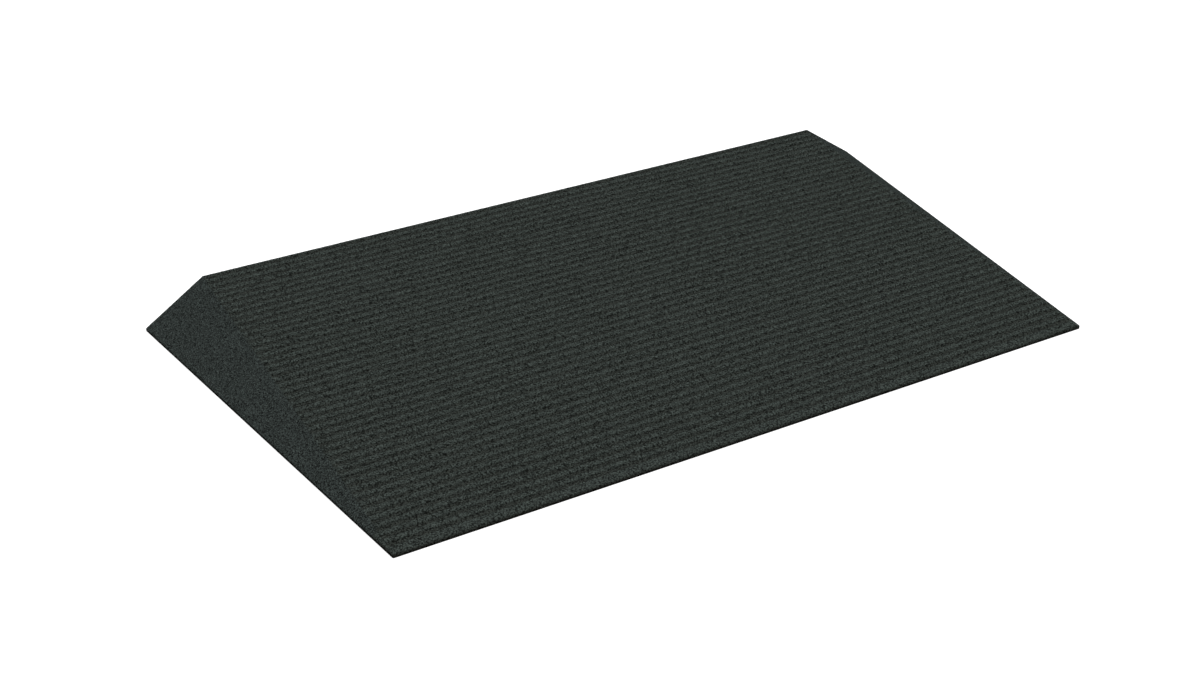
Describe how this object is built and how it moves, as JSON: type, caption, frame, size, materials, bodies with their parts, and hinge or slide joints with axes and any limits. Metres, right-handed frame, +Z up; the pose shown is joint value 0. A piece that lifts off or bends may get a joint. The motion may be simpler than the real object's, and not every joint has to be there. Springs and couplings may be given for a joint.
{
  "type": "threshold ramp",
  "caption": "Low rubber threshold ramp with a cross-ribbed tread, smooth sloping wedge sides and a blunt front edge, for wheelchairs at a doorway.",
  "frame": {"origin": "on the floor, in the middle of the footprint", "axes": "+Z up, +Y up the slope towards the threshold, +X to the right of someone going up"},
  "size_m": [1.195, 0.635, 0.0621],
  "materials": {
    "ribbed_tread_rubber": "matt charcoal crumb rubber with a moulded ribbed face",
    "smooth_wedge_rubber": "matt charcoal crumb rubber with a fine, even grain",
    "sawn_core_rubber": "matt black crumb rubber, sawn"
  },
  "bodies": {
    "root": {"tread": "ribbed_tread_rubber", "left_bevel": "smooth_wedge_rubber", "right_bevel": "smooth_wedge_rubber", "core_layer_1": "sawn_core_rubber", "core_layer_2": "sawn_core_rubber", "core_layer_3": "sawn_core_rubber", "core_layer_4": "sawn_core_rubber", "core_layer_5": "sawn_core_rubber", "core_layer_6": "sawn_core_rubber"}
  },
  "joints": []
}
